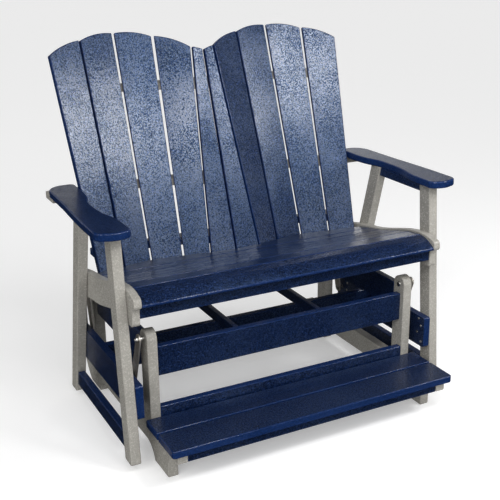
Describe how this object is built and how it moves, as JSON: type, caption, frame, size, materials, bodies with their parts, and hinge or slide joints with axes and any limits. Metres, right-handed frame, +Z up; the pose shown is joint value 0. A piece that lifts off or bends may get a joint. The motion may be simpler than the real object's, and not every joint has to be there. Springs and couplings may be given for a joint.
{
  "type": "glider swing",
  "caption": "Two-seat outdoor glider bench with fan back, arms and footrest, its seat hung on steel links from a floor frame.",
  "frame": {"origin": "on the floor under the middle of the bench", "axes": "+X across the bench to the viewer's right seen from the front, +Y to the back, +Z up"},
  "size_m": [1.4382, 1.0796, 1.4024],
  "materials": {
    "blue_lumber": "speckled navy poly lumber",
    "grey_lumber": "warm light grey poly lumber",
    "steel_bar": "flat steel bar",
    "fastener": "stainless steel"
  },
  "bodies": {
    "floor_frame": {"base_cross_bars": "blue_lumber", "base_front_stretcher": "blue_lumber", "base_rear_stretcher": "blue_lumber", "footrest_front_board": "blue_lumber", "footrest_front_slat": "blue_lumber", "footrest_lip_board": "blue_lumber", "footrest_rear_slat": "blue_lumber", "front_left_post": "grey_lumber", "front_right_post": "grey_lumber", "left_base_rail": "grey_lumber", "left_base_side_board": "blue_lumber", "rear_left_post": "grey_lumber", "rear_right_post": "grey_lumber", "right_base_rail": "grey_lumber", "right_base_side_board": "blue_lumber", "upper_pivot_bolts": "fastener", "upper_pivot_nuts": "fastener"},
    "seat_swing": {"arm_batten": "grey_lumber", "arm_rails": "blue_lumber", "back_slat_1": "blue_lumber", "back_slat_10": "blue_lumber", "back_slat_2": "blue_lumber", "back_slat_3": "blue_lumber", "back_slat_4": "blue_lumber", "back_slat_5": "blue_lumber", "back_slat_6": "blue_lumber", "back_slat_7": "blue_lumber", "back_slat_8": "blue_lumber", "back_slat_9": "blue_lumber", "front_left_leg": "grey_lumber", "front_right_leg": "grey_lumber", "left_arm": "blue_lumber", "left_seat_panel": "grey_lumber", "left_swing_board": "blue_lumber", "lower_batten": "blue_lumber", "lower_pivot_bolts": "fastener", "lower_stretchers": "blue_lumber", "rear_cleats": "grey_lumber", "rear_left_leg": "grey_lumber", "rear_right_leg": "grey_lumber", "right_arm": "blue_lumber", "right_seat_panel": "grey_lumber", "right_swing_board": "blue_lumber", "seat_apron": "blue_lumber", "seat_center_support": "grey_lumber", "seat_slat_1": "blue_lumber", "seat_slat_2": "blue_lumber", "seat_slat_3": "blue_lumber", "seat_slat_4": "blue_lumber", "seat_slat_5": "blue_lumber", "seat_slat_6": "blue_lumber", "seat_slat_7": "blue_lumber", "swing_board_screws": "fastener", "swing_stretcher": "blue_lumber", "upper_batten": "grey_lumber"},
    "front_left_link": {"front_left_link": "steel_bar"},
    "front_right_link": {"front_right_link": "steel_bar"},
    "rear_left_link": {"rear_left_link": "steel_bar"},
    "rear_right_link": {"rear_right_link": "steel_bar"}
  },
  "joints": [
    {"name": "front_left_link_hinge", "type": "hinge", "parent": "floor_frame", "child": "front_left_link", "pos_m": [-0.574, -0.263, 0.456], "axis": [1, 0, 0], "range_deg": [-10, 10]},
    {"name": "front_right_link_hinge", "type": "hinge", "parent": "floor_frame", "child": "front_right_link", "pos_m": [0.574, -0.263, 0.456], "axis": [1, 0, 0], "range_deg": [-10, 10]},
    {"name": "rear_left_link_hinge", "type": "hinge", "parent": "floor_frame", "child": "rear_left_link", "pos_m": [-0.574, 0.319, 0.456], "axis": [1, 0, 0], "range_deg": [-10, 10]},
    {"name": "rear_right_link_hinge", "type": "hinge", "parent": "floor_frame", "child": "rear_right_link", "pos_m": [0.574, 0.319, 0.456], "axis": [1, 0, 0], "range_deg": [-10, 10]},
    {"name": "seat_swing_hinge", "type": "hinge", "parent": "front_left_link", "child": "seat_swing", "pos_m": [-0.574, -0.1848, 0.251], "axis": [1, 0, 0], "range_deg": [-13.2, 13.2]}
  ],
  "couplings": [
    {"joint": "front_right_link_hinge", "follows": "front_left_link_hinge", "ratio": 1},
    {"joint": "rear_left_link_hinge", "follows": "front_left_link_hinge", "ratio": 1},
    {"joint": "rear_right_link_hinge", "follows": "front_left_link_hinge", "ratio": 1},
    {"joint": "seat_swing_hinge", "follows": "front_left_link_hinge", "ratio": -1.2903}
  ]
}
